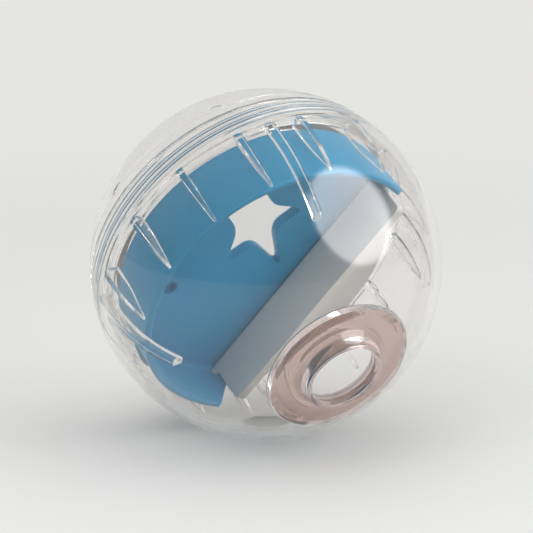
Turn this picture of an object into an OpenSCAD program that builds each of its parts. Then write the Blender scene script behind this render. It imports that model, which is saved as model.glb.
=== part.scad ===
// Treat ball: two clear shells that screw together, with a tray and a tilting divider inside.
// Everything is drawn in the ball's own frame, where z runs along the thread axis towards the outlet,
// and is then set down on the floor with the outlet tipped below level.

/* [Ball] */
// Outside diameter of the ball
ball_d = 102; // [94:1:116]
// Wall of the two shells
shell_wall = 2.4; // [2:0.1:3]
// Angle of the outlet below level at rest
lean = 28; // [22:1:34]
// Depth of the flat that the ball rests on
foot_depth = 0.5; // [0.4:0.05:0.8]

/* [Seam and thread] */
// Distance from the ball's centre back to the seam
seam_back = 15; // [13:0.5:17]
// Gap between the two shells at the seam
seam_gap = 0.3; // [0.2:0.05:0.5]
// Bevel on both shells at the seam
seam_bevel = 0.3; // [0.2:0.1:0.8]
// Wall of the front shell's skirt where it ends at the seam
skirt_wall = 1.35; // [1.1:0.05:1.6]
// Height of the skirt above the seam
skirt_h = 10; // [9.4:0.1:10.6]
// Height of the neck's rim above the seam
neck_h = 9; // [8.6:0.1:9.4]
// Wall of the neck
neck_wall = 2.6; // [2:0.1:3]
// Thickness of the shoulder that carries the neck
shoulder_t = 2.4; // [2:0.1:3]
// Bevel on the neck's rim
rim_bevel = 0.4; // [0.2:0.1:0.7]
// Number of thread starts
thread_starts = 4; // [2:1:4]
// Distance from one turn of the thread to the next
thread_pitch = 2.6; // [2.4:0.1:3]
// Height of the neck's thread teeth
tooth_h = 1.4; // [1.2:0.05:1.5]
// Width of a thread tooth at its foot
tooth_foot_w = 0.9; // [0.8:0.05:1]
// Width of a thread tooth at its crest
tooth_crest_w = 0.4; // [0.3:0.05:0.5]
// Arc of a thread tooth
tooth_turn = 22; // [16:1:22]
// Angle from one thread tooth to the next
tooth_pitch = 30; // [30:5:45]
// Distance of the teeth from the seam and from the neck's rim
tooth_margin = 1.5; // [1.3:0.1:1.8]
// Clearance between a tooth's crest and the wall that it faces
thread_gap = 0.5; // [0.4:0.05:0.6]

/* [Guide ribs] */
// Number of guide ribs
rib_count = 16; // [12:4:20]
// Width of a guide rib
rib_w = 2.2; // [1.8:0.1:2.6]
// Width of a guide rib where it runs out
rib_end_w = 0.9; // [0.7:0.1:1.2]
// Height above the ball's centre where the ribs run out
rib_end_up = 15.8; // [14:0.1:17]
// Height above the ball's centre where the ribs start to taper
rib_taper_up = 4; // [2:0.5:6]
// Clearance between the ribs and the neck's rim
rib_foot_gap = 0.4; // [0.3:0.05:0.6]
// Number of stop bars
bar_count = 4; // [2:1:4]
// Width of a stop bar
bar_w = 2.6; // [2:0.1:3.5]
// Height above the ball's centre where the stop bars end
bar_end_up = 26; // [22:0.5:29]

/* [Tray] */
// Height of the tray over all
tray_h = 20; // [17:0.5:21]
// Wall of the tray
tray_wall = 2; // [1.6:0.1:2.6]
// Floor of the tray
floor_t = 3.4; // [3:0.1:4]
// Bevel on the tray's edges
tray_bevel = 0.5; // [0.3:0.1:0.8]
// Fillet between the tray's floor and wall
tray_fillet = 1.6; // [1:0.1:2.5]
// Clearance between the tray's floor and the neck's rim
seat_gap = 0.3; // [0.2:0.05:0.4]
// Clearance between the tray's rim and the stop bars
stop_gap = 0.3; // [0.2:0.05:0.5]
// Clearance between the tray's wall and the guide ribs
tray_gap = 0.7; // [0.5:0.05:0.8]
// Reach of the key lugs past the ribs' inner edge
key_reach = 0.75; // [0.6:0.05:0.9]
// Clearance between the key lugs and the front shell's thread
lug_gap = 0.5; // [0.4:0.05:0.7]
// Clearance between a key lug and the rib beside it
key_gap = 0.4; // [0.3:0.05:0.6]
// Width of a key lug
lug_w = 3; // [2:0.1:4]
// Height of a key lug
lug_h = 9; // [6:0.5:12]
// Rib that the key lugs stand astride, counted from +x
key_rib = 10; // [9:1:11]

/* [Star and finger hole] */
// Points of the star
star_points = 5; // [4:1:6]
// Radius of the star at its tips, across its short way
star_tip_r = 14.7; // [12:0.1:15]
// Radius of the star at its notches, across its short way
star_notch_r = 5.8; // [5:0.1:7]
// Length of the star over its width
star_stretch = 1.55; // [1:0.05:1.6]
// Share of each side that the star's tips and notches are rounded over
star_round = 0.32; // [0.2:0.02:0.45]
// Distance of the star from the thread axis
star_out = 15.5; // [14:0.1:16]
// Direction of the star from the thread axis
star_at = 111; // [100:1:125]
// Direction of the star's long way
star_long = 121; // [110:1:130]
// Turn of the star within its outline
star_turn = 60; // [0:1:72]
// Radius of the finger hole
finger_r = 2.3; // [1.5:0.1:3]
// Depth of the finger hole
finger_deep = 2.2; // [1.5:0.1:2.6]
// Distance of the finger hole from the thread axis
finger_out = 29.6; // [26:0.1:34]
// Direction of the finger hole from the thread axis
finger_at = 193; // [185:1:200]

/* [Divider] */
// Thickness of the divider
plate_t = 2.8; // [2.2:0.1:3.2]
// Distance of the divider from the thread axis
plate_out = 13.8; // [11:0.1:15]
// Direction that the divider's outer face looks
plate_at = -27.5; // [-35:0.5:-20]
// Radius of the divider's top corners
plate_corner_r = 1.6; // [1:0.1:3]
// Clearance between the divider's ends and the tray's wall
plate_end_gap = 0.5; // [0.4:0.05:0.8]
// Clearance between the divider's lower edge and the tray's floor
plate_foot_gap = 0.4; // [0.3:0.05:0.6]
// Thickness of the divider's apron, which covers the open side beside the tray
apron_t = 1.8; // [1.4:0.1:2.2]
// Height of the apron's underside above the divider's lower edge
apron_up = 0.3; // [0.2:0.05:0.5]
// Clearance between the apron's round edge and the circle of the tray's inside
apron_gap = 1.4; // [1.2:0.1:2]
// Tray wall beyond the divider's pivot line
ear_w = 2.6; // [2.3:0.1:3]
// Distance that the tray's wall is cut back at its rim, beside the divider
ear_slant = 8; // [6:0.5:9]
// Height above the pivot line where that slant starts
ear_slant_up = 3.5; // [3:0.1:5]
// Radius of the divider's pivot pins
pin_r = 1.2; // [0.9:0.05:1.3]
// Radial clearance of the pivot pins
pin_gap = 0.05; // [0.03:0.01:0.08]
// Distance of a pin's end from the tray's outside
pin_end_gap = 0.3; // [0.2:0.1:0.6]

/* [Outlet] */
// Radius of the outlet's bore
outlet_bore_r = 10.4; // [9:0.1:11]
// Radius of the outlet cup's rim
outlet_rim_r = 21.3; // [19:0.1:23]
// Radius of the neck's foot
outlet_foot_r = 13.8; // [13:0.1:14.5]
// Wall of the outlet's neck at its top
outlet_lip_w = 1.3; // [1:0.1:1.6]
// Height of the neck above the cup's rim
outlet_neck_h = 4.2; // [3.5:0.1:5]
// Dip of the cup's face below its rim
outlet_dip = 0.9; // [0.5:0.1:1.2]
// Wall of the outlet cup
outlet_wall = 2.4; // [2:0.1:2.8]
// Bevel inside the neck's top
outlet_bevel = 0.4; // [0.2:0.1:0.6]
// Gap between the outlet cup and the front shell
bond_gap = 0.1; // [0.05:0.01:0.2]

/* [Grip dimples] */
// Number of grip dimples
dimple_count = 8; // [6:1:12]
// Radius of a grip dimple at the surface
dimple_r = 3; // [2:0.1:4]
// Depth of a grip dimple
dimple_deep = 0.15; // [0.1:0.05:0.4]
// Distance of the grip dimples from the ball's centre along the thread axis
dimple_back = 19.5; // [19:0.5:30]

/* [Hidden] */
$fn = 120;

clear_colour = [0.86, 0.87, 0.87, 0.45];
pink_colour = [0.83, 0.74, 0.73, 0.6];

ball_r = ball_d / 2;
inner_r = ball_r - shell_wall;
mid_r = ball_r - shell_wall / 2;
reach = ball_d;

seam_r = sqrt(ball_r ^ 2 - seam_back ^ 2);
seam_z = -seam_back;
skirt_top_z = seam_z + skirt_h;
rim_z = seam_z + neck_h;
shoulder_z = seam_z - seam_gap;
skirt_r = seam_r - skirt_wall;
neck_crest_r = skirt_r - thread_gap;
neck_r = neck_crest_r - tooth_h;
neck_bore_r = neck_r - neck_wall;
skirt_crest_r = neck_r + thread_gap;
lead = thread_starts * thread_pitch;
start_pitch = 360 / thread_starts;
tooth_low_z = seam_z + tooth_margin;
tooth_count = 1 + floor(360 * (rim_z - tooth_margin - tooth_low_z) / lead / tooth_pitch);
tooth_sink = thread_gap;

lug_r = skirt_crest_r - lug_gap;
rib_r = lug_r - key_reach;
rib_foot_z = rim_z + rib_foot_gap;
rib_tip_r = sqrt(inner_r ^ 2 - rib_end_up ^ 2);
rib_pitch = 360 / rib_count;
bar_pitch = 360 / bar_count;

tray_r = rib_r - tray_gap;
tray_in_r = tray_r - tray_wall;
tray_low_z = rim_z + seat_gap;
tray_top_z = tray_low_z + tray_h;
floor_z = tray_low_z + floor_t;
bar_r = norm([tray_r - tray_bevel + stop_gap, tray_top_z + stop_gap]);

ear_out = plate_out + ear_w;
ear_rim_out = ear_out - ear_slant;
plate_half = sqrt(tray_in_r ^ 2 - ear_out ^ 2) - plate_end_gap;
pivot_z = floor_z + plate_foot_gap + plate_t / 2;
plate_up = tray_top_z - pivot_z;
apron_r = tray_in_r - apron_gap;
pin_half = sqrt(tray_r ^ 2 - (plate_out + pin_r) ^ 2) - pin_end_gap;

outlet_rim_z = sqrt(ball_r ^ 2 - outlet_rim_r ^ 2);
outlet_top_z = outlet_rim_z + outlet_neck_h;
outlet_face_z = outlet_rim_z - outlet_dip;
outlet_lip_r = outlet_bore_r + outlet_lip_w;
outlet_back_z = outlet_face_z - outlet_wall;
outlet_seat_z = outlet_rim_z - outlet_wall;
outlet_fillet = (outlet_foot_r - outlet_lip_r) / 2;

dimple_round_r = (dimple_r ^ 2 + dimple_deep ^ 2) / (2 * dimple_deep);
dimple_ring_r = sqrt(ball_r ^ 2 - dimple_back ^ 2);
dimple_out = (ball_r + dimple_round_r - dimple_deep) / ball_r;

module set_down() translate([0, 0, ball_r - foot_depth]) rotate([90 + lean, 0, 0]) children();

module ring(r_out, r_in, z_low, z_high) translate([0, 0, z_low]) difference() {
    cylinder(r = r_out, h = z_high - z_low);
    translate([0, 0, -reach]) cylinder(r = r_in, h = 2 * reach);
}

// Half space above or below a level
module above(z) translate([-reach, -reach, z]) cube(2 * reach);
module below(z) translate([-reach, -reach, z - 2 * reach]) cube(2 * reach);

// An interrupted screw thread: short teeth that climb along each start's helix, from foot_r to crest_r
module thread(foot_r, crest_r, turn) for (start = [0:thread_starts - 1], i = [0:tooth_count - 1])
    rotate([0, 0, turn + start_pitch * start + tooth_pitch * i - tooth_turn / 2])
        translate([0, 0, tooth_low_z + lead * tooth_pitch * i / 360])
            rotate_extrude(angle = tooth_turn) polygon([
                [foot_r, -tooth_foot_w / 2], [crest_r, -tooth_crest_w / 2],
                [crest_r, tooth_crest_w / 2], [foot_r, tooth_foot_w / 2]
            ]);

module guide_ribs() intersection() {
    sphere(r = mid_r);
    for (i = [0:rib_count - 1]) rotate([0, 0, rib_pitch * i]) intersection() {
        rotate([90, 0, 0]) translate([0, 0, -rib_w / 2]) linear_extrude(rib_w)
            polygon([
                [rib_r, rib_foot_z], [ball_r, rib_foot_z], [ball_r, rib_end_up],
                [rib_tip_r, rib_end_up], [rib_r, rib_taper_up]
            ]);
        rotate([90, 0, 90]) linear_extrude(reach)
            polygon([
                [-rib_w / 2, rib_foot_z], [rib_w / 2, rib_foot_z],
                [rib_end_w / 2, rib_end_up], [-rib_end_w / 2, rib_end_up]
            ]);
    }
}

module stop_bars() difference() {
    intersection() {
        sphere(r = mid_r);
        for (i = [0:bar_count - 1]) rotate([0, 0, bar_pitch * i + rib_pitch / 2])
            translate([0, -bar_w / 2, rib_foot_z]) cube([reach, bar_w, bar_end_up - rib_foot_z]);
    }
    sphere(r = bar_r);
}

module front_shell() color(clear_colour) difference() {
    set_down() difference() {
        union() {
            difference() {
                sphere(r = ball_r);
                intersection() {
                    sphere(r = inner_r);
                    above(skirt_top_z);
                }
                translate([0, 0, seam_z - reach]) cylinder(r = skirt_r, h = reach + skirt_h);
            }
            guide_ribs();
            stop_bars();
            thread(skirt_r + tooth_sink, skirt_crest_r, start_pitch / 2);
        }
        below(seam_z);
        rotate_extrude() polygon([
            [seam_r - seam_bevel, seam_z - seam_bevel], [ball_r, seam_z - seam_bevel],
            [ball_r, seam_z + ball_r - seam_r], [seam_r - seam_bevel, seam_z]
        ]);
        cylinder(r = outlet_rim_r + bond_gap, h = reach);
    }
    below(0);
}

module outlet_cup() color(pink_colour) set_down() rotate_extrude() polygon([
    [outlet_rim_r, outlet_seat_z], [outlet_rim_r, outlet_rim_z],
    [outlet_foot_r + outlet_dip, outlet_face_z], [outlet_foot_r, outlet_face_z + outlet_fillet],
    [outlet_lip_r, outlet_top_z - outlet_fillet], [outlet_lip_r - outlet_bevel, outlet_top_z],
    [outlet_bore_r + outlet_bevel, outlet_top_z], [outlet_bore_r, outlet_top_z - outlet_bevel],
    [outlet_bore_r, outlet_face_z], [outlet_bore_r + outlet_wall, outlet_back_z]
]);

function star_corner(i) =
    let (r = i % 2 == 0 ? star_tip_r : star_notch_r, a = star_turn + 180 * i / star_points)
    [r * cos(a), r * sin(a) * star_stretch];

// A corner rounded by a short parabola that starts and ends on the two sides beside it
function rounded_corner(before, at, after) =
    let (from = at + (before - at) * star_round, to = at + (after - at) * star_round, steps = 6)
    [for (k = [0:steps]) let (t = k / steps) (1 - t) ^ 2 * from + 2 * t * (1 - t) * at + t ^ 2 * to];

module star() polygon([
    for (i = [0:2 * star_points - 1])
        each rounded_corner(star_corner(i - 1), star_corner(i), star_corner(i + 1))
]);

module on_pivot() rotate([0, 0, plate_at]) translate([plate_out, 0, pivot_z]) children();

module tray_round() rotate_extrude() polygon([
    [0, tray_low_z], [tray_r - tray_bevel, tray_low_z], [tray_r, tray_low_z + tray_bevel],
    [tray_r, tray_top_z - tray_bevel], [tray_r - tray_bevel, tray_top_z],
    [tray_in_r + tray_bevel, tray_top_z], [tray_in_r, tray_top_z - tray_bevel],
    [tray_in_r, floor_z + tray_fillet], [tray_in_r - tray_fillet, floor_z], [0, floor_z]
]);

module key_lugs() rotate([0, 0, rib_pitch * key_rib]) intersection() {
    ring(lug_r, tray_in_r + tray_bevel, tray_low_z + tray_bevel, tray_low_z + tray_bevel + lug_h);
    for (side = [-1, 1])
        translate([0, side * (rib_w / 2 + key_gap + lug_w / 2) - lug_w / 2, -reach])
            cube([reach, lug_w, 2 * reach]);
}

module tray() color("steelblue") set_down() difference() {
    union() {
        tray_round();
        key_lugs();
    }
    rotate([90, 0, plate_at]) translate([0, 0, -reach]) linear_extrude(2 * reach) polygon([
        [ear_out, -reach], [reach, -reach], [reach, reach], [ear_rim_out, reach],
        [ear_rim_out, tray_top_z], [ear_out, pivot_z + ear_slant_up]
    ]);
    rotate([0, 0, star_at]) translate([star_out, 0, tray_low_z - floor_t])
        rotate([0, 0, star_long - star_at - 90]) linear_extrude(3 * floor_t) star();
    rotate([0, 0, finger_at]) translate([finger_out, 0, floor_z - finger_deep])
        cylinder(r = finger_r, h = reach);
    on_pivot() rotate([90, 0, 0]) translate([0, 0, -reach]) cylinder(r = pin_r + pin_gap, h = 2 * reach);
}

module plate_outline() {
    translate([-plate_half, 0]) square([2 * plate_half, plate_up - plate_corner_r]);
    translate([plate_corner_r - plate_half, 0]) square([2 * (plate_half - plate_corner_r), plate_up]);
    for (side = [-1, 1])
        translate([side * (plate_half - plate_corner_r), plate_up - plate_corner_r]) circle(r = plate_corner_r);
}

module apron() translate([0, 0, apron_up - plate_t / 2]) intersection() {
    translate([-plate_out, 0, 0]) cylinder(r = apron_r, h = apron_t);
    translate([0, -plate_half, 0]) cube([reach, 2 * plate_half, apron_t]);
}

module divider() color("gainsboro") set_down() on_pivot() {
    apron();
    rotate([90, 0, 90]) translate([0, 0, -plate_t / 2]) linear_extrude(plate_t) plate_outline();
    rotate([90, 0, 0]) translate([0, 0, -plate_half]) cylinder(r = plate_t / 2, h = 2 * plate_half);
    rotate([90, 0, 0]) translate([0, 0, -pin_half]) cylinder(r = pin_r, h = 2 * pin_half);
}

module back_neck() intersection() {
    sphere(r = mid_r);
    rotate_extrude() polygon([
        [neck_bore_r, rim_z - rim_bevel], [neck_bore_r + rim_bevel, rim_z],
        [neck_r - rim_bevel, rim_z], [neck_r, rim_z - rim_bevel], [neck_r, shoulder_z],
        [ball_r, shoulder_z], [ball_r, shoulder_z - shoulder_t],
        [neck_bore_r, shoulder_z - shoulder_t - neck_wall]
    ]);
}

module grip_dimples() for (i = [0:dimple_count - 1]) rotate([0, 0, 360 * (i + 0.5) / dimple_count])
    translate([dimple_ring_r * dimple_out, 0, -dimple_back * dimple_out]) sphere(r = dimple_round_r);

module back_shell() color(clear_colour) set_down() difference() {
    union() {
        difference() {
            sphere(r = ball_r);
            sphere(r = inner_r);
            above(shoulder_z);
        }
        back_neck();
        thread(neck_r - tooth_sink, neck_crest_r, 0);
    }
    rotate_extrude() polygon([
        [seam_r - seam_bevel, shoulder_z], [ball_r, shoulder_z - ball_r + seam_r],
        [ball_r, shoulder_z + seam_bevel], [seam_r - seam_bevel, shoulder_z + seam_bevel]
    ]);
    grip_dimples();
}

front_shell();
outlet_cup();
tray();
divider();
back_shell();
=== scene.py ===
import math

import bpy
from mathutils import Matrix, Vector


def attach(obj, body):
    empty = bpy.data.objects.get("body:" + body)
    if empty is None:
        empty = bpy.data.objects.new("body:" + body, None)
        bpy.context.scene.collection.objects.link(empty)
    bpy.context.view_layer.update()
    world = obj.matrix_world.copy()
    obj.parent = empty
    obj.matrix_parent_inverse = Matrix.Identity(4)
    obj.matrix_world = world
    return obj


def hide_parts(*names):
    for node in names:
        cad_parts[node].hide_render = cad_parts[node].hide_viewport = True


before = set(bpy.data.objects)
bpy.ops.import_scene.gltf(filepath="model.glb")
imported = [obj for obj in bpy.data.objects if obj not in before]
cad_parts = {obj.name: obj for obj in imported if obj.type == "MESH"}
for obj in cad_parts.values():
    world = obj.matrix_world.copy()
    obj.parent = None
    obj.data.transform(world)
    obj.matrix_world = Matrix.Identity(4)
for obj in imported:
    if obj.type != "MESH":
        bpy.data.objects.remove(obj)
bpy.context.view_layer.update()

mm = 0.001
print("frame loaded:", ", ".join(sorted(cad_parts)))

# sizes are in millimetres and angles in degrees, apart from the studio's distances, which are in metres
# the ball's own frame has z along the thread axis, towards the outlet
ball = {
    "radius": 51.0,
    "wall": 2.4,
    "lean": 28.0,  # of the thread axis, down towards the outlet
    "footDepth": 0.5,  # how much is cut off flat where the ball rests
    "seamBack": 15.0,  # from the middle
    "seamBevel": 0.3,
    "steps": 240,
    "sharpAngle": 6.0,
}
meshing = {
    "mergeWithin": 0.002,
    "cornerShare": 0.49,  # the most of an edge that one rounded corner takes
    "bevelFrom": 40.0,
    "bevelSteps": 2,
    "softAngle": 30.0,
}
ballRadius = ball["radius"]
innerRadius = ballRadius - ball["wall"]
midRadius = ballRadius - ball["wall"] / 2
seamZ = -ball["seamBack"]
seamRadius = math.sqrt(ballRadius ** 2 - seamZ ** 2)
seamEdge = seamRadius - ball["seamBevel"]
ballCentre = Vector((0, 0, (ballRadius - ball["footDepth"]) * mm))
setDown = Matrix.Translation(ballCentre) @ Matrix.Rotation(math.radians(90 + ball["lean"]), 4, "X")
unmoved = Matrix.Identity(4)


def deselectAll():
    if bpy.context.object and bpy.context.object.mode != "OBJECT":
        bpy.ops.object.mode_set(mode="OBJECT")
    bpy.ops.object.select_all(action="DESELECT")


def pick(*objs):
    deselectAll()
    for obj in objs:
        obj.select_set(True)
    bpy.context.view_layer.objects.active = objs[0]


def openMesh(obj):
    pick(obj)
    bpy.ops.object.mode_set(mode="EDIT")
    bpy.ops.mesh.select_mode(type="VERT")
    bpy.ops.mesh.select_all(action="SELECT")


def closeMesh(obj):
    bpy.ops.mesh.select_all(action="SELECT")
    bpy.ops.mesh.remove_doubles(threshold=meshing["mergeWithin"] * mm)
    bpy.ops.mesh.normals_make_consistent(inside=False)
    bpy.ops.object.mode_set(mode="OBJECT")
    return obj


def pickEdges(obj, wanted):
    bpy.ops.mesh.select_all(action="DESELECT")
    bpy.ops.object.mode_set(mode="OBJECT")
    for edge in obj.data.edges:
        a, b = (obj.data.vertices[i].co for i in edge.vertices)
        edge.select = wanted(a, b)
    bpy.ops.object.mode_set(mode="EDIT")


def arc(radius, fromAngle, toAngle, steps):
    angles = [math.radians(fromAngle + (toAngle - fromAngle) * i / steps) for i in range(steps + 1)]
    return [(radius * math.cos(a), radius * math.sin(a), 0) for a in angles]


def bend(first, corner, last, steps):
    shares = [k / steps for k in range(steps + 1)]
    return [first * (1 - t) ** 2 + corner * 2 * t * (1 - t) + last * t ** 2 for t in shares]


# corners given as (r, z, rounding) become short curves
def rounded(corners, closed, steps=4):
    points = []
    for i, (r, z, rounding) in enumerate(corners):
        here = Vector((r, z))
        inside = closed or 0 < i < len(corners) - 1
        if rounding == 0 or not inside:
            points.append(here)
            continue
        before = Vector(corners[i - 1][:2]) - here
        after = Vector(corners[(i + 1) % len(corners)][:2]) - here
        first = here + before.normalized() * min(rounding, before.length * meshing["cornerShare"])
        last = here + after.normalized() * min(rounding, after.length * meshing["cornerShare"])
        points += bend(first, here, last, steps)
    return points


# a plane merged to one vertex, which is then drawn out along the points
def drawOut(name, points, closed):
    deselectAll()
    bpy.ops.mesh.primitive_plane_add(size=mm, location=(0, 0, 0))
    obj = bpy.context.active_object
    obj.name = obj.data.name = name
    openMesh(obj)
    bpy.ops.mesh.merge(type="CENTER")
    way = [Vector(p) * mm for p in points] + ([Vector(points[0]) * mm] if closed else [])
    bpy.ops.transform.translate(value=way[0])
    for here, there in zip(way, way[1:]):
        bpy.ops.mesh.extrude_vertices_move(TRANSFORM_OT_translate={"value": there - here})
    bpy.ops.mesh.select_all(action="SELECT")
    bpy.ops.mesh.remove_doubles(threshold=meshing["mergeWithin"] * mm)
    return obj


def spun(name, profile, closed, steps):
    obj = drawOut(name, [(p[0], 0, p[1]) for p in profile], closed)
    bpy.ops.mesh.select_all(action="SELECT")
    bpy.ops.mesh.spin(steps=steps, angle=math.tau, center=(0, 0, 0), axis=(0, 0, 1))
    return closeMesh(obj)


# an outline in the x-z plane made into a slab, half of its thickness to either side
def slab(name, outline, thickness):
    obj = drawOut(name, [(p[0], -thickness / 2, p[1]) for p in outline], True)
    bpy.ops.mesh.select_all(action="SELECT")
    bpy.ops.mesh.edge_face_add()
    bpy.ops.mesh.extrude_region_move(TRANSFORM_OT_translate={"value": (0, thickness * mm, 0)})
    return closeMesh(obj)


def placed(obj, matrix):
    pick(obj)
    obj.matrix_world = matrix @ obj.matrix_world
    bpy.ops.object.transform_apply(location=True, rotation=True, scale=True)
    return obj


def turnZ(degrees):
    return Matrix.Rotation(math.radians(degrees), 4, "Z")


# copies with their own meshes, spread evenly round the thread axis and joined
def turnedCopies(obj, count, firstTurn=0):
    copies = []
    for i in range(count):
        pick(obj)
        bpy.ops.object.duplicate(linked=False)
        copies.append(placed(bpy.context.active_object, turnZ(firstTurn + 360 * i / count)))
    bpy.data.objects.remove(obj)
    pick(*copies)
    bpy.ops.object.join()
    return bpy.context.active_object


def applied(obj, kind, **settings):
    pick(obj)
    modifier = obj.modifiers.new(kind.title(), kind)
    for key, value in settings.items():
        setattr(modifier, key, value)
    bpy.ops.object.modifier_apply(modifier=modifier.name)
    return obj


def combined(obj, tool, operation):
    applied(obj, "BOOLEAN", operation=operation, solver="EXACT", object=tool)
    bpy.data.objects.remove(tool)
    return obj


def bevelled(obj, width, angle=meshing["bevelFrom"], steps=meshing["bevelSteps"]):
    return applied(obj, "BEVEL", width=width * mm, segments=steps, limit_method="ANGLE",
                   angle_limit=math.radians(angle))


def filled(obj):
    openMesh(obj)
    bpy.ops.mesh.fill_holes(sides=0)
    return closeMesh(obj)


# what lies behind a plane through the origin is cut away, and the cut is closed
def cutOff(obj, normal):
    openMesh(obj)
    bpy.ops.mesh.bisect(plane_co=(0, 0, 0), plane_no=normal, use_fill=True, clear_inner=True,
                        threshold=meshing["mergeWithin"] * mm)
    return closeMesh(obj)


# a cylinder along z, or along y where it lies
def cylinder(radius, length, sides, centre, lying=False):
    deselectAll()
    bpy.ops.mesh.primitive_cylinder_add(
        vertices=sides, radius=radius * mm, depth=length * mm, location=centre,
        rotation=(math.pi / 2 if lying else 0, 0, 0))
    return placed(bpy.context.active_object, unmoved)


def smoothed(obj, angle=ball["sharpAngle"]):
    pick(obj)
    bpy.ops.object.shade_smooth_by_angle(angle=math.radians(angle))
    return obj


# a helical ridge: a closed section screwed up along the thread, its ends sunk into the wall and capped
def ridge(name, section, turn, climb, steps, wallRadius, outward):
    obj = drawOut(name, [(p[0], 0, p[1]) for p in section], True)
    bpy.ops.object.mode_set(mode="OBJECT")
    applied(obj, "SCREW", angle=math.radians(turn), screw_offset=climb * mm, steps=steps,
            render_steps=steps, axis="Z", use_merge_vertices=False)
    openMesh(obj)
    bpy.ops.mesh.fill_holes(sides=0)
    bpy.ops.object.mode_set(mode="OBJECT")
    ringSize = len(section)
    count = len(obj.data.vertices) // ringSize
    partly = thread["endShare"]
    for index, share in ((0, 0.0), (1, partly), (count - 2, partly), (count - 1, 0.0)):
        for vertex in obj.data.vertices[index * ringSize:(index + 1) * ringSize]:
            radius = math.hypot(vertex.co.x, vertex.co.y)
            depth = radius - wallRadius * mm
            if depth * outward > 0:
                sunk = (1 - share) * outward * thread["endSink"] * mm
                factor = (wallRadius * mm + depth * share - sunk) / radius
                vertex.co.x *= factor
                vertex.co.y *= factor
    openMesh(obj)
    return closeMesh(obj)


# thread on the front shell's skirt and the back shell's neck
thread = {
    "starts": 4,
    "lead": 10.4,
    "margin": 1.5,  # from the seam and from the neck's rim
    "height": 1.4,
    "gap": 0.5,  # between a crest and the wall that it faces
    "skirtWall": 1.35,
    "skirtHeight": 10.0,
    "neckWall": 2.6,
    "neckHeight": 9.0,
    "footWidth": 1.15,
    "crestWidth": 0.95,
    "sink": 0.5,
    "endShare": 0.6,
    "endSink": 0.05,
    "steps": 64,
}
skirtRadius = seamRadius - thread["skirtWall"]
skirtTopZ = seamZ + thread["skirtHeight"]
neckCrest = skirtRadius - thread["gap"]
neckRadius = neckCrest - thread["height"]
neckBore = neckRadius - thread["neckWall"]
neckTopZ = seamZ + thread["neckHeight"]
skirtCrest = neckRadius + thread["gap"]
threadLowZ = seamZ + thread["margin"]
threadHighZ = neckTopZ - thread["margin"]
threadTurn = 360 * (threadHighZ - threadLowZ) / thread["lead"]


def threadRidges(name, wallRadius, crestRadius, firstTurn):
    outward = 1 if crestRadius > wallRadius else -1
    foot, crest = thread["footWidth"] / 2, thread["crestWidth"] / 2
    sunk = wallRadius - outward * thread["sink"]
    section = [(sunk, -foot), (crestRadius, -crest), (crestRadius, crest), (sunk, foot)]
    one = ridge(name, [(r, z + threadLowZ) for r, z in section], threadTurn,
                threadHighZ - threadLowZ, thread["steps"], wallRadius, outward)
    return turnedCopies(one, thread["starts"], firstTurn)


front = {
    "seamRound": 0.25,
    "bevelAngle": -16.6,  # where the outside curve ends, short of the seam
    "ribCount": 16,
    "ribWidth": 2.2,
    "ribEndShare": 0.41,  # width at the end over width at the foot
    "ribFootGap": 0.4,  # above the neck's rim
    "ribTaper": 4.0,
    "ribEnd": 15.8,
    "barCount": 4,
    "barWidth": 2.6,
    "barRadius": 46.21,
    "barEnd": 26.0,
    "lugGap": 0.5,  # between the skirt's thread and the tray's lugs
    "lugReach": 0.75,  # of those lugs past the ribs' inner edge
    "edgeRound": 0.25,
    "barRound": 0.4,
    "ribFootRound": 0.4,
    "ribBend": 2.0,
    "outerSteps": 64,
    "innerSteps": 60,
    "ribSteps": 12,
    "barSteps": 24,
}
lugRadius = skirtCrest - front["lugGap"]
ribRadius = lugRadius - front["lugReach"]
ribFootZ = neckTopZ + front["ribFootGap"]


def angleAtZ(radius, z):
    return math.degrees(math.asin(z / radius))


def angleAtR(radius, r):
    return math.degrees(math.acos(r / radius))


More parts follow.
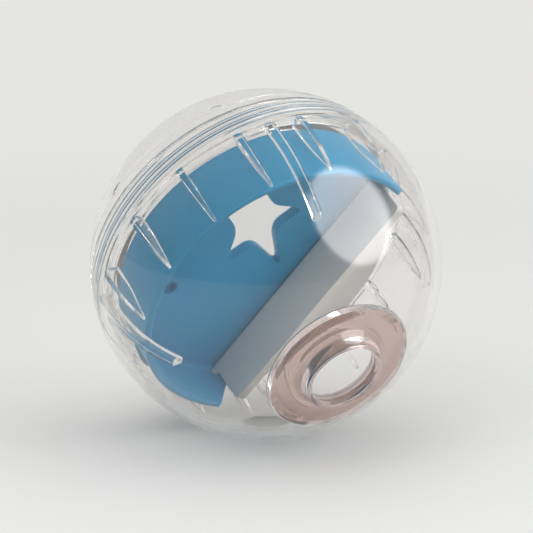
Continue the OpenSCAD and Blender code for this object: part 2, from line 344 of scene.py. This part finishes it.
def makeFrontShell():
    profile = arc(ballRadius, angleAtR(ballRadius, outletHole), front["bevelAngle"], front["outerSteps"])
    ledge = math.sqrt(innerRadius ** 2 - skirtTopZ ** 2)
    profile += [
        (seamEdge, seamZ, front["seamRound"]), (skirtRadius, seamZ, front["seamRound"]),
        (skirtRadius, skirtTopZ, front["seamRound"]), (ledge, skirtTopZ, 0),
    ]
    profile += arc(innerRadius, angleAtZ(innerRadius, skirtTopZ), angleAtR(innerRadius, outletHole),
                   front["innerSteps"])[1:]
    shell = spun("frontShell", rounded(profile, True), True, ball["steps"])

    ribArc = arc(midRadius, angleAtZ(midRadius, ribFootZ), angleAtZ(midRadius, front["ribEnd"]),
                 front["ribSteps"])
    ribTip = math.sqrt(innerRadius ** 2 - front["ribEnd"] ** 2)
    ribOutline = [(ribRadius, ribFootZ, front["ribFootRound"])] + ribArc
    ribOutline += [(ribTip, front["ribEnd"], 0), (ribRadius, front["ribTaper"], front["ribBend"])]
    rib = bevelled(slab("guideRib", rounded(ribOutline, True), front["ribWidth"]), front["edgeRound"])
    for vertex in rib.data.vertices:
        run = (vertex.co.z / mm - ribFootZ) / (front["ribEnd"] - ribFootZ)
        vertex.co.y *= 1 + (front["ribEndShare"] - 1) * min(max(run, 0), 1)
    ribs = turnedCopies(rib, front["ribCount"])

    barOuter = arc(midRadius, angleAtZ(midRadius, ribFootZ), angleAtZ(midRadius, front["barEnd"]),
                   front["barSteps"])
    barInner = arc(front["barRadius"], angleAtZ(front["barRadius"], front["barEnd"]),
                   angleAtZ(front["barRadius"], ribFootZ), front["barSteps"])
    bar = slab("stopBar", [p[:2] for p in barOuter + barInner], front["barWidth"])
    bars = turnedCopies(bevelled(bar, front["barRound"]), front["barCount"], 180 / front["ribCount"])

    ridges = threadRidges("skirtThread", skirtRadius, skirtCrest, 180 / thread["starts"])
    pick(ribs, bars, ridges)
    bpy.ops.object.join()
    combined(shell, ribs, "UNION")
    return smoothed(cutOff(placed(shell, setDown), (0, 0, 1)))


back = {
    "seamGap": 0.3,
    "bevelAngle": -17.64,  # where the outside curve ends, short of the seam
    "neckFoot": -20.3,
    "footMeet": (44.38, -19.83),  # radius and height where the neck runs into the inside
    "dimpleCount": 8,
    "dimpleRadius": 3.0,
    "dimpleDeep": 0.15,
    "dimpleBack": 19.5,  # from the middle
    "dimpleSides": 96,
    "dimpleRings": 64,
    "seamRound": 0.25,
    "neckRound": 0.5,
    "footRound": 0.6,
    "outerSteps": 56,
    "innerSteps": 52,
}


def makeBackShell():
    shoulder = seamZ - back["seamGap"]
    profile = arc(ballRadius, -90, back["bevelAngle"], back["outerSteps"])
    profile += [
        (seamEdge, shoulder, back["seamRound"]), (neckRadius, shoulder, back["neckRound"]),
        (neckRadius, neckTopZ, back["neckRound"]), (neckBore, neckTopZ, back["neckRound"]),
        (neckBore, back["neckFoot"], back["footRound"]), back["footMeet"] + (0,),
    ]
    meet = math.degrees(math.atan2(back["footMeet"][1], back["footMeet"][0]))
    profile += arc(innerRadius, meet, -90, back["innerSteps"])[1:]
    profile[0] = (0, -ballRadius, 0)
    profile[-1] = (0, -innerRadius, 0)
    shell = spun("backShell", rounded(profile, False), False, ball["steps"])
    combined(shell, threadRidges("neckThread", neckRadius, neckCrest, 0), "UNION")

    deep, across = back["dimpleDeep"], back["dimpleRadius"]
    roundness = (across ** 2 + deep ** 2) / (2 * deep)
    away = ballRadius + roundness - deep
    out = math.sqrt(ballRadius ** 2 - back["dimpleBack"] ** 2) / ballRadius * away
    deselectAll()
    bpy.ops.mesh.primitive_uv_sphere_add(
        segments=back["dimpleSides"], ring_count=back["dimpleRings"], radius=roundness * mm,
        location=(out * mm, 0, -back["dimpleBack"] / ballRadius * away * mm))
    dimple = placed(bpy.context.active_object, unmoved)
    dimples = turnedCopies(dimple, back["dimpleCount"], 180 / back["dimpleCount"])
    combined(shell, dimples, "DIFFERENCE")
    return smoothed(placed(shell, setDown))


outlet = {
    "rim": 21.3,
    "bore": 10.4,
    "lipWidth": 1.3,
    "foot": 13.8,
    "wall": 2.4,
    "neckHeight": 4.2,
    "dip": 0.9,  # of the cup's face below its rim
    "bondGap": 0.1,
    "dish": (18.0, -0.62, 3.0),  # radius, height from the rim, rounding
    "seatRound": 0.1,
    "rimRound": 0.12,
    "footRound": 1.3,
    "neckFlare": (0.3, -1.6, 1.2),
    "lipIn": 0.1,
    "lipRound": 0.6,
    "flare": 2.4,
    "flareRound": 1.0,
    "cornerSteps": 7,
    "softAngle": 24.0,
    "steps": 192,
}
outletHole = outlet["rim"] + outlet["bondGap"]


def makeOutletCup():
    o = outlet
    rimZ = math.sqrt(ballRadius ** 2 - o["rim"] ** 2)
    faceZ, topZ = rimZ - o["dip"], rimZ + o["neckHeight"]
    lip = o["bore"] + o["lipWidth"]
    dishOut, dishUp, dishRound = o["dish"]
    neckOut, neckUp, neckRound = o["neckFlare"]
    profile = rounded([
        (o["rim"], rimZ - o["wall"], o["seatRound"]), (o["rim"], rimZ, o["rimRound"]),
        (dishOut, rimZ + dishUp, dishRound), (o["foot"], faceZ, o["footRound"]),
        (lip + neckOut, topZ + neckUp, neckRound), (lip - o["lipIn"], topZ, o["lipRound"]),
        (o["bore"], topZ, o["lipRound"]), (o["bore"], faceZ, o["lipRound"]),
        (o["bore"] + o["flare"], faceZ - o["wall"], o["flareRound"]),
    ], True, o["cornerSteps"])
    return smoothed(placed(spun("outletCup", profile, True, o["steps"]), setDown), o["softAngle"])


tray = {
    "height": 20.0,
    "wall": 2.0,
    "floor": 3.4,
    "seatGap": 0.3,  # above the neck's rim
    "ribGap": 0.7,
    "rimRound": 0.9,
    "fillet": 2.2,
    "steps": 192,
    "earWidth": 2.6,  # wall beyond the divider's pivot line
    "earSlant": 8.0,
    "earSlantUp": 3.5,
    "lugWidth": 3.0,
    "lugHeight": 9.0,
    "lugRib": 10,
    "lugGap": 0.4,
    "pinGap": 0.05,
    "edgeRound": 0.35,
    "edgeSteps": 3,
    "edgeFrom": 50.0,
    "edgeMerge": 0.05,
    "footRound": 0.6,
    "cornerSteps": 6,
    "lugSink": 0.6,
    "lugUp": 0.5,
    "lugRound": 0.35,
    "boreSides": 32,
}
star = {
    "points": 5,
    "tip": 14.7,
    "notch": 5.8,
    "stretch": 1.55,
    "rounding": 0.32,
    "out": 15.5,
    "at": 111.0,
    "longWay": 121.0,
    "turn": 60.0,
    "cornerSteps": 8,
    "cutDeep": 12.0,
}
fingerHole = {"radius": 2.3, "deep": 2.2, "out": 29.6, "at": 193.0, "sides": 48, "cutDeep": 6.0}
plate = {
    "at": -27.5,
    "out": 13.8,
    "thick": 2.8,
    "endGap": 0.5,
    "footGap": 0.4,
    "pin": 1.2,
    "pinEndGap": 0.3,
    "apronGap": 1.4,
    "apronThick": 1.8,
    "apronUp": 0.3,
    "apronRound": 0.4,
    "footShare": 0.98,
    "footSteps": 10,
    "cornerRound": 1.6,
    "cornerSteps": 8,
    "pinSides": 40,
    "edgeRound": 0.45,
    "edgeSteps": 3,
    "edgeFrom": 50.0,
}
trayRadius = ribRadius - tray["ribGap"]
trayInside = trayRadius - tray["wall"]
trayLowZ = neckTopZ + tray["seatGap"]
trayTopZ = trayLowZ + tray["height"]
floorZ = trayLowZ + tray["floor"]
pivotZ = floorZ + plate["footGap"] + plate["thick"] / 2
earOut = plate["out"] + tray["earWidth"]


def starOutline():
    corners = []
    for i in range(2 * star["points"]):
        radius = star["notch"] if i % 2 else star["tip"]
        angle = math.radians(star["turn"] + 180 * i / star["points"])
        corners.append(Vector((radius * math.cos(angle), radius * math.sin(angle) * star["stretch"])))
    points = []
    for i, here in enumerate(corners):
        first = here.lerp(corners[i - 1], star["rounding"])
        last = here.lerp(corners[(i + 1) % len(corners)], star["rounding"])
        points += bend(first, here, last, star["cornerSteps"])
    return points


def polar(out, degrees, z=0.0):
    return Vector((out * math.cos(math.radians(degrees)), out * math.sin(math.radians(degrees)), z)) * mm


def makeTray():
    t = tray
    profile = rounded([
        (0, trayLowZ, 0), (trayRadius, trayLowZ, t["footRound"]),
        (trayRadius, trayTopZ, t["rimRound"]), (trayInside, trayTopZ, t["rimRound"]),
        (trayInside, floorZ, t["fillet"]), (0, floorZ, 0),
    ], False, t["cornerSteps"])
    piece = filled(spun("blueTray", profile[1:-1], False, t["steps"]))  # floor and underside: one face each

    # straight side, star and finger hole, with their edges rounded
    far = 2 * ballRadius
    rimOut = earOut - t["earSlant"]
    side = slab("sideCutter", [
        (earOut, -far), (far, -far), (far, far), (rimOut, far),
        (rimOut, trayTopZ), (earOut, pivotZ + t["earSlantUp"])], far)
    combined(piece, placed(side, turnZ(plate["at"])), "DIFFERENCE")
    cutter = slab("starCutter", starOutline(), star["cutDeep"])
    upright = Matrix.Rotation(math.radians(-90), 4, "X")
    starPlace = Matrix.Translation(polar(star["out"], star["at"], floorZ))
    combined(piece, placed(cutter, starPlace @ turnZ(star["longWay"] - 90) @ upright), "DIFFERENCE")
    holeMiddle = floorZ - fingerHole["deep"] + fingerHole["cutDeep"] / 2
    combined(piece, cylinder(fingerHole["radius"], fingerHole["cutDeep"], fingerHole["sides"],
                             polar(fingerHole["out"], fingerHole["at"], holeMiddle)), "DIFFERENCE")
    openMesh(piece)
    bpy.ops.mesh.remove_doubles(threshold=t["edgeMerge"] * mm)
    closeMesh(piece)
    bevelled(piece, t["edgeRound"], t["edgeFrom"], t["edgeSteps"])

    # two lugs astride a guide rib
    lugIn, lugLow = trayInside + t["lugSink"], trayLowZ + t["lugUp"]
    lugTop = lugLow + t["lugHeight"]
    lugOutline = [(lugIn, lugLow), (lugRadius, lugLow), (lugRadius, lugTop), (lugIn, lugTop)]
    lug = bevelled(slab("keyLug", lugOutline, t["lugWidth"]), t["lugRound"])
    aside = front["ribWidth"] / 2 + t["lugGap"] + t["lugWidth"] / 2
    pick(lug)
    bpy.ops.object.duplicate(linked=False)
    other = placed(bpy.context.active_object, Matrix.Translation((0, -aside * mm, 0)))
    placed(lug, Matrix.Translation((0, aside * mm, 0)))
    pick(lug, other)
    bpy.ops.object.join()
    combined(piece, placed(lug, turnZ(360 / front["ribCount"] * t["lugRib"])), "UNION")

    # pivot bores
    boreRadius = plate["pin"] + t["pinGap"]
    bore = cylinder(boreRadius, far, t["boreSides"], (plate["out"] * mm, 0, pivotZ * mm), True)
    combined(piece, placed(bore, turnZ(plate["at"])), "DIFFERENCE")
    return smoothed(placed(piece, setDown), meshing["softAngle"])


def makeDivider():
    p = plate
    high, low = trayTopZ - pivotZ, -p["thick"] / 2
    half = math.sqrt(trayInside ** 2 - earOut ** 2) - p["endGap"]
    pinHalf = math.sqrt(trayRadius ** 2 - (p["out"] + p["pin"]) ** 2) - p["pinEndGap"]
    deselectAll()
    bpy.ops.mesh.primitive_cube_add(size=mm, location=(0, 0, (high + low) / 2 * mm))
    piece = bpy.context.active_object
    piece.name = piece.data.name = "whiteDivider"
    piece.scale = (p["thick"], 2 * half, high - low)
    placed(piece, unmoved)
    openMesh(piece)
    bpy.ops.mesh.select_mode(type="EDGE")
    pickEdges(piece, lambda a, b: max(a.z, b.z) < 0 and abs(a.y - b.y) > mm)
    bpy.ops.mesh.bevel(offset=p["thick"] / 2 * p["footShare"] * mm, segments=p["footSteps"], affect="EDGES")
    bpy.ops.mesh.select_mode(type="EDGE")
    pickEdges(piece, lambda a, b: min(a.z, b.z) > 0 and abs(a.x - b.x) > mm)
    bpy.ops.mesh.bevel(offset=p["cornerRound"] * mm, segments=p["cornerSteps"], affect="EDGES")
    closeMesh(piece)
    combined(piece, cylinder(p["pin"], 2 * pinHalf, p["pinSides"], (0, 0, 0), True), "UNION")
    bevelled(piece, p["edgeRound"], p["edgeFrom"], p["edgeSteps"])

    # apron: a rounded disc cut off at the pivot line
    edge, bottom = trayInside - p["apronGap"], low + p["apronUp"]
    top = bottom + p["apronThick"]
    profile = rounded([(0, bottom, 0), (edge, bottom, p["apronRound"]), (edge, top, p["apronRound"]),
                       (0, top, 0)], False)
    apron = filled(spun("apron", profile[1:-1], False, tray["steps"]))
    placed(apron, Matrix.Translation((-p["out"] * mm, 0, 0)))
    combined(piece, cutOff(apron, (1, 0, 0)), "UNION")
    placed(piece, turnZ(p["at"]) @ Matrix.Translation(Vector((p["out"], 0, pivotZ)) * mm))
    return smoothed(placed(piece, setDown), meshing["softAngle"])


# a socket that adds, subtracts and multiplies by making nodes
class Wire:
    def __init__(self, tree, socket=None):
        self.tree, self.socket = tree, socket

    def node(self, kind, settings, sockets, out=0):
        made = self.tree.nodes.new("ShaderNode" + kind)
        for key, value in settings.items():
            setattr(made, key, value)
        for key, value in sockets.items():
            if isinstance(value, Wire):
                self.tree.links.new(value.socket, made.inputs[key])
            else:
                made.inputs[key].default_value = value
        return Wire(self.tree, made.outputs[out] if made.outputs else None)

    def maths(self, operation, a, b):
        return self.node("Math", {"operation": operation}, {0: a, 1: b})

    def __add__(self, other):
        return self.maths("ADD", self, other)

    def __sub__(self, other):
        return self.maths("SUBTRACT", self, other)

    def __rsub__(self, other):
        return self.maths("SUBTRACT", other, self)

    def __mul__(self, other):
        return self.maths("MULTIPLY", self, other)

    __radd__, __rmul__ = __add__, __mul__


def newTree(name):
    material = bpy.data.materials.new(name)
    material.use_nodes = True
    material.node_tree.nodes.clear()
    return material, Wire(material.node_tree)


# 0 to 1 with the distance from the object's middle, between two radii
def byDistance(wire, fromRadius, toRadius):
    place = wire.node("TexCoord", {}, {}, "Object")
    away = wire.node("VectorMath", {"operation": "LENGTH"}, {0: place}, "Value")
    return wire.node("MapRange", {"interpolation_type": "SMOOTHSTEP"}, {
        "Value": away, "From Min": fromRadius, "From Max": toRadius})


def noise(wire, where, size):
    scale, detail = size
    return wire.node("TexNoise", {}, {"Vector": where, "Scale": scale, "Detail": detail}, "Fac")


# a noise size is a scale per metre and a level of detail
clearPlastic = {
    "tint": (0.975, 0.967, 0.957, 1),
    "clearness": 0.994,
    "shade": (0.87, 0.87, 0.865, 1),
    "ior": 1.49,
    "polish": 0.015,
    "haze": 0.03,
    "hazeSize": (90, 4),
    "flow": 0.006,
    "flowSize": (38, 1),
    "flowDeep": 1.0,
}
outletPlastic = dict(clearPlastic, tint=(0.69, 0.53, 0.495, 1))
grained = {
    "ior": 1.5,
    "mottleSize": (45, 5),
    "grainSize": (1400, 2),
    "grainDeep": 0.2,
    "smearSize": (160, 4),
    "smearMiddle": 0.5,
}
trayPlastic = grained | {
    "colour": (0.016, 0.295, 0.535, 1),
    "deep": (0.014, 0.265, 0.490, 1),
    "shine": 0.25,
    "rough": 0.34,
    "roughSpread": 0.10,
    "grain": 0.05,
}
dividerPlastic = grained | {
    "colour": (0.65, 0.64, 0.61, 1),
    "deep": (0.62, 0.61, 0.58, 1),
    "shine": 0.5,
    "rough": 0.42,
    "roughSpread": 0.10,
    "grain": 0.05,
}


# polished clear moulding: slow flow waves, a little haze, and light from the lamps let through
def clearFinish(name, look):
    material, wire = newTree(name)
    where = wire.node("TexCoord", {}, {}, "Object")
    haze = noise(wire, where, look["hazeSize"])
    flow = noise(wire, where, look["flowSize"])
    normal = wire.node("Bump", {}, {
        "Strength": look["flow"], "Distance": look["flowDeep"] * mm, "Height": flow})
    plastic = wire.node("BsdfPrincipled", {}, {
        "Base Color": look["tint"], "Roughness": look["polish"] + haze * look["haze"], "IOR": look["ior"],
        "Transmission Weight": look["clearness"], "Normal": normal})
    through = wire.node("BsdfTransparent", {}, {"Color": look["shade"]})
    lamp = wire.node("LightPath", {}, {}, "Is Shadow Ray")
    surface = wire.node("MixShader", {}, {0: lamp, 1: plastic, 2: through})
    wire.node("OutputMaterial", {}, {"Surface": surface})
    return material


# the bond between cup and shell: clear cement in full contact, which light passes straight through
def bondFinish(name):
    material, wire = newTree(name)
    wire.node("OutputMaterial", {}, {"Surface": wire.node("BsdfTransparent", {}, {})})
    return material


# coloured moulding: faint mottling of the colour, uneven gloss and a fine grain
def mouldedFinish(name, look):
    material, wire = newTree(name)
    where = wire.node("TexCoord", {}, {}, "Object")
    mottle = noise(wire, where, look["mottleSize"])
    grain = noise(wire, where, look["grainSize"])
    smear = noise(wire, where, look["smearSize"])
    # sockets 6 and 7 are the Mix node's two colours, and output 2 is their mix
    colour = wire.node("Mix", {"data_type": "RGBA"}, {
        "Factor": mottle, 6: look["deep"], 7: look["colour"]}, 2)
    normal = wire.node("Bump", {}, {
        "Strength": look["grain"], "Distance": look["grainDeep"] * mm, "Height": grain})
    plastic = wire.node("BsdfPrincipled", {}, {
        "Base Color": colour,
        "Roughness": look["rough"] + (smear - look["smearMiddle"]) * look["roughSpread"],
        "IOR": look["ior"], "Specular IOR Level": look["shine"], "Normal": normal})
    wire.node("OutputMaterial", {}, {"Surface": plastic})
    return material


# faces on the bond's cylinder get the bond's material
def bonded(piece, radius, material, within=0.02):
    piece.data.materials.append(material)
    toBall = setDown.inverted()
    spots = [toBall @ v.co for v in piece.data.vertices]
    for face in piece.data.polygons:
        corners = [spots[i] for i in face.vertices]
        if all(abs(math.hypot(p.x, p.y) - radius * mm) < within * mm and p.z > 0 for p in corners):
            face.material_index = 1


def finished(piece, node, body, material):
    piece.data.materials.clear()
    piece.data.materials.append(material)
    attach(piece, body)
    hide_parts(node)
    print("made", piece.name, len(piece.data.polygons), "faces")


shellFinish = clearFinish("clearShell", clearPlastic)
bond = bondFinish("bondLine")
frontShell, outletCup = makeFrontShell(), makeOutletCup()
finished(frontShell, "front_shell", "front", shellFinish)
finished(outletCup, "outlet_cup", "front", clearFinish("outletClear", outletPlastic))
bonded(frontShell, outletHole, bond)
bonded(outletCup, outlet["rim"], bond)
finished(makeTray(), "tray", "tray", mouldedFinish("trayBlue", trayPlastic))
finished(makeDivider(), "divider", "divider",
         mouldedFinish("dividerWhite", dividerPlastic))
finished(makeBackShell(), "back_shell", "back", shellFinish)

studio = {
    "azimuth": -30.0,
    "elevation": 13.0,
    "distance": 0.816,
    "lens": 190.0,
    "sensor": 36.0,
    "clipStart": 0.01,
    "aimRight": 0.145,  # the aim's place beside the ball's centre, in millimetres
    "aimUp": -0.72,
    "floorSize": 12.0,
    "floorColour": (0.80, 0.80, 0.79, 1),
    "paleColour": (0.785, 0.787, 0.765, 1),
    "paleFrom": 0.12,
    "paleTo": 0.55,
    "skyFront": 0.30,
    "skyBright": 0.66,
    "clearFront": 0.60,
    "clearBright": 0.72,
    "clearStart": -1.0,
    "skyColour": (1.0, 1.0, 0.99, 1),
    "skyStart": -0.3,
    "skyEdge": 0.5,
    "keyFrom": (0.80, 0.46, 0.39),  # right, up and towards the camera
    "keyAway": 0.75,
    "keySize": (0.80, 0.62),
    "keyPower": 2.2,
    "cardSize": 0.86,
    "cardGlow": 4.4,
    "cardFade": 0.07,
    "cardSides": 64,
    "topAway": 1.3,
    "topSize": (1.8, 1.8),
    "topPower": 3.5,
    "fillFrom": (-0.55, 0.45, 0.70),
    "fillAway": 0.9,
    "fillSize": (0.9, 0.9),
    "fillPower": 3.0,
    "bounces": 32,
}


def makeStudio():
    s = studio
    turn, tilt = math.radians(s["azimuth"]), math.radians(s["elevation"])
    toward = Vector((math.sin(turn) * math.cos(tilt), -math.cos(turn) * math.cos(tilt), math.sin(tilt)))
    right = Vector((math.cos(turn), math.sin(turn), 0))
    up = toward.cross(right)
    aim = ballCentre + (right * s["aimRight"] + up * s["aimUp"]) * mm

    def pointAt(obj, fromPoint, atPoint):
        obj.location = fromPoint
        obj.rotation_euler = (fromPoint - atPoint).to_track_quat("Z", "Y").to_euler()

    def fromBall(direction, away):
        way = right * direction[0] + up * direction[1] + toward * direction[2]
        return ballCentre + way.normalized() * away

    deselectAll()
    bpy.ops.object.camera_add()
    camera = bpy.context.active_object
    camera.data.lens = s["lens"]
    camera.data.sensor_width = s["sensor"]
    camera.data.clip_start = s["clipStart"]
    pointAt(camera, aim + toward * s["distance"], aim)
    bpy.context.scene.camera = camera

    def lamp(name, direction, away, size, power):
        deselectAll()
        bpy.ops.object.light_add(type="AREA")
        made = bpy.context.active_object
        made.name = name
        made.data.shape = "ELLIPSE"
        made.data.size, made.data.size_y = size
        made.data.energy = power
        made.visible_glossy = made.visible_transmission = False
        pointAt(made, fromBall(direction, away), ballCentre)

    lamp("keySoftbox", s["keyFrom"], s["keyAway"], s["keySize"], s["keyPower"])
    lamp("topSoftbox", (0, 1, 0), s["topAway"], s["topSize"], s["topPower"])
    lamp("fillSoftbox", s["fillFrom"], s["fillAway"], s["fillSize"], s["fillPower"])

    # the key softbox as the gloss sees it: a card that fades out towards its edge
    deselectAll()
    bpy.ops.mesh.primitive_circle_add(vertices=s["cardSides"], radius=s["cardSize"] / 2, fill_type="NGON")
    card = bpy.context.active_object
    card.name = "softboxCard"
    pointAt(card, fromBall(s["keyFrom"], s["keyAway"]), ballCentre)
    card.visible_camera = card.visible_diffuse = card.visible_shadow = False
    material, wire = newTree("softboxCard")
    inside = byDistance(wire, s["cardSize"] / 2, s["cardSize"] / 2 - s["cardFade"])
    bare = wire.node("BsdfTransparent", {}, {})
    lit = wire.node("AddShader", {}, {0: wire.node("Emission", {}, {"Strength": s["cardGlow"]}), 1: bare})
    wire.node("OutputMaterial", {}, {"Surface": wire.node("MixShader", {}, {0: inside, 1: bare, 2: lit})})
    card.data.materials.append(material)

    # pale floor: lit and shaded round the object, an even tone further out
    deselectAll()
    bpy.ops.mesh.primitive_plane_add(size=s["floorSize"], location=(0, 0, 0))
    floor = bpy.context.active_object
    floor.name = "studioFloor"
    material, wire = newTree("studioFloor")
    pale = byDistance(wire, s["paleFrom"], s["paleTo"])
    lit = wire.node("BsdfDiffuse", {}, {"Color": s["floorColour"]})
    even = wire.node("Emission", {}, {"Color": s["paleColour"]})
    wire.node("OutputMaterial", {}, {"Surface": wire.node("MixShader", {}, {0: pale, 1: lit, 2: even})})
    floor.data.materials.append(material)

    # dim room in front, pale backdrop behind and overhead
    world = bpy.data.worlds.new("studioSky")
    bpy.context.scene.world = world
    world.use_nodes = True
    world.node_tree.nodes.clear()
    sky = Wire(world.node_tree)
    direction = sky.node("TexCoord", {}, {}, "Generated")
    brightest = (up - toward).normalized()
    facing = sky.node("VectorMath", {"operation": "DOT_PRODUCT"}, {0: direction, 1: brightest}, "Value")

    def graded(dimLevel, fullLevel, startAt, fade):
        share = sky.node("MapRange", {"interpolation_type": fade}, {
            "Value": facing, "From Min": startAt, "From Max": s["skyEdge"]})
        dim, full = (sky.node("Background", {}, {"Color": s["skyColour"], "Strength": level})
                     for level in (dimLevel, fullLevel))
        return sky.node("MixShader", {}, {0: share, 1: dim, 2: full})

    mirrored = graded(s["skyFront"], s["skyBright"], s["skyStart"], "SMOOTHSTEP")
    through = graded(s["clearFront"], s["clearBright"], s["clearStart"], "LINEAR")
    clear = sky.node("LightPath", {}, {}, "Is Transmission Ray")
    sky.node("OutputWorld", {}, {"Surface": sky.node("MixShader", {}, {0: clear, 1: mirrored, 2: through})})
    bpy.context.scene.view_settings.view_transform = "Standard"
    for setting in ("max_bounces", "glossy_bounces", "transmission_bounces", "transparent_max_bounces"):
        setattr(bpy.context.scene.cycles, setting, s["bounces"])


makeStudio()
print("studio ready")
